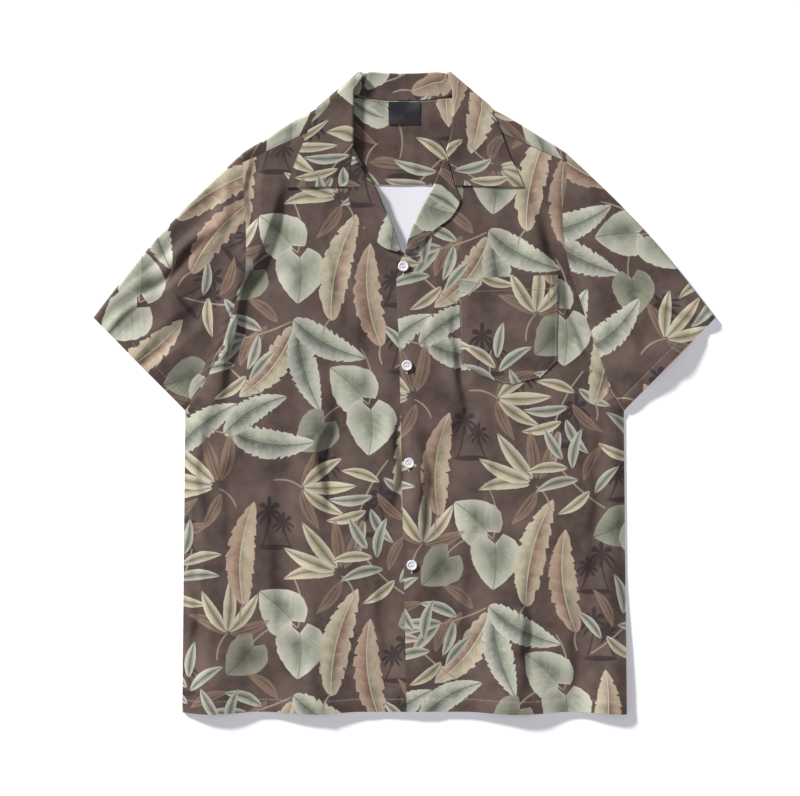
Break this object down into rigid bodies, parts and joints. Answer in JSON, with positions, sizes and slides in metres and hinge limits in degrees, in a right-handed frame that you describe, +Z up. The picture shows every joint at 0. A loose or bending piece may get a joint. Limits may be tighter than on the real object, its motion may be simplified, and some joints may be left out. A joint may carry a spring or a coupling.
{
  "type": "hawaiian shirt",
  "caption": "Boxy short-sleeved camp-collar shirt with a leaf print and a patch pocket, buttoned and laid flat on its back",
  "frame": {"origin": "middle of the shirt's outline, on the surface that it lies on", "axes": "+Z up from the surface, the front facing up; +Y from the hem to the collar; +X to the viewer's right, which is the wearer's left"},
  "size_m": [0.7462, 0.7708, 0.0121],
  "materials": {
    "printed_cloth": "soft viscose with a satin sheen and a printed leaf pattern, white on the reverse",
    "label_cloth": "black woven satin, bare",
    "button_resin": "white cast resin with a soft gloss"
  },
  "bodies": {
    "root": {"back": "printed_cloth", "yoke_outer": "printed_cloth", "yoke_lining": "printed_cloth", "front_right": "printed_cloth", "front_left": "printed_cloth", "facing_right": "printed_cloth", "facing_left": "printed_cloth", "collar": "printed_cloth", "sleeve_right": "printed_cloth", "sleeve_left": "printed_cloth", "pocket": "printed_cloth", "label": "label_cloth", "button_1": "button_resin", "button_2": "button_resin", "button_3": "button_resin", "button_4": "button_resin"}
  },
  "joints": []
}
